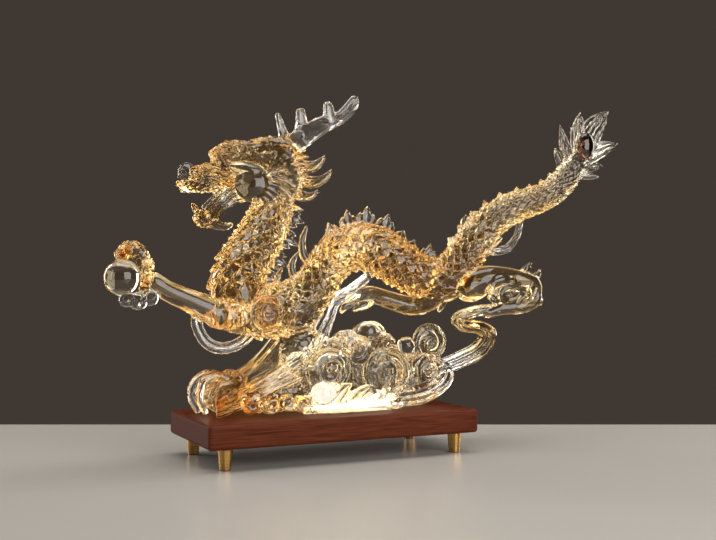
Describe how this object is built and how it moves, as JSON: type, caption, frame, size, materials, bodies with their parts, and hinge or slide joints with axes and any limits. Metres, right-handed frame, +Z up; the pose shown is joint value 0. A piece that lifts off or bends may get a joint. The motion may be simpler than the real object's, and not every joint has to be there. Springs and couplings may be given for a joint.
{
  "type": "dragon sculpture",
  "caption": "Cast glass dragon striding over curling clouds with a pearl in its raised claw, on a wooden plinth with turned brass feet.",
  "frame": {"origin": "on the standing surface, under the middle of the whole object's box", "axes": "+X along the plinth from the head towards the tail, +Y away from the viewed side, +Z up"},
  "size_m": [0.4866, 0.108, 0.3046],
  "materials": {
    "amber_glass": "polished cast glass, clear with an amber tint in the carved parts",
    "clear_glass": "polished clear glass ball",
    "walnut": "satin lacquered reddish walnut with fine straight grain",
    "brass": "satin turned brass"
  },
  "bodies": {
    "root": {"dragon": "amber_glass", "pearl": "clear_glass", "plinth": "walnut", "foot_front_left": "brass", "foot_front_right": "brass", "foot_back_left": "brass", "foot_back_right": "brass"}
  },
  "joints": []
}
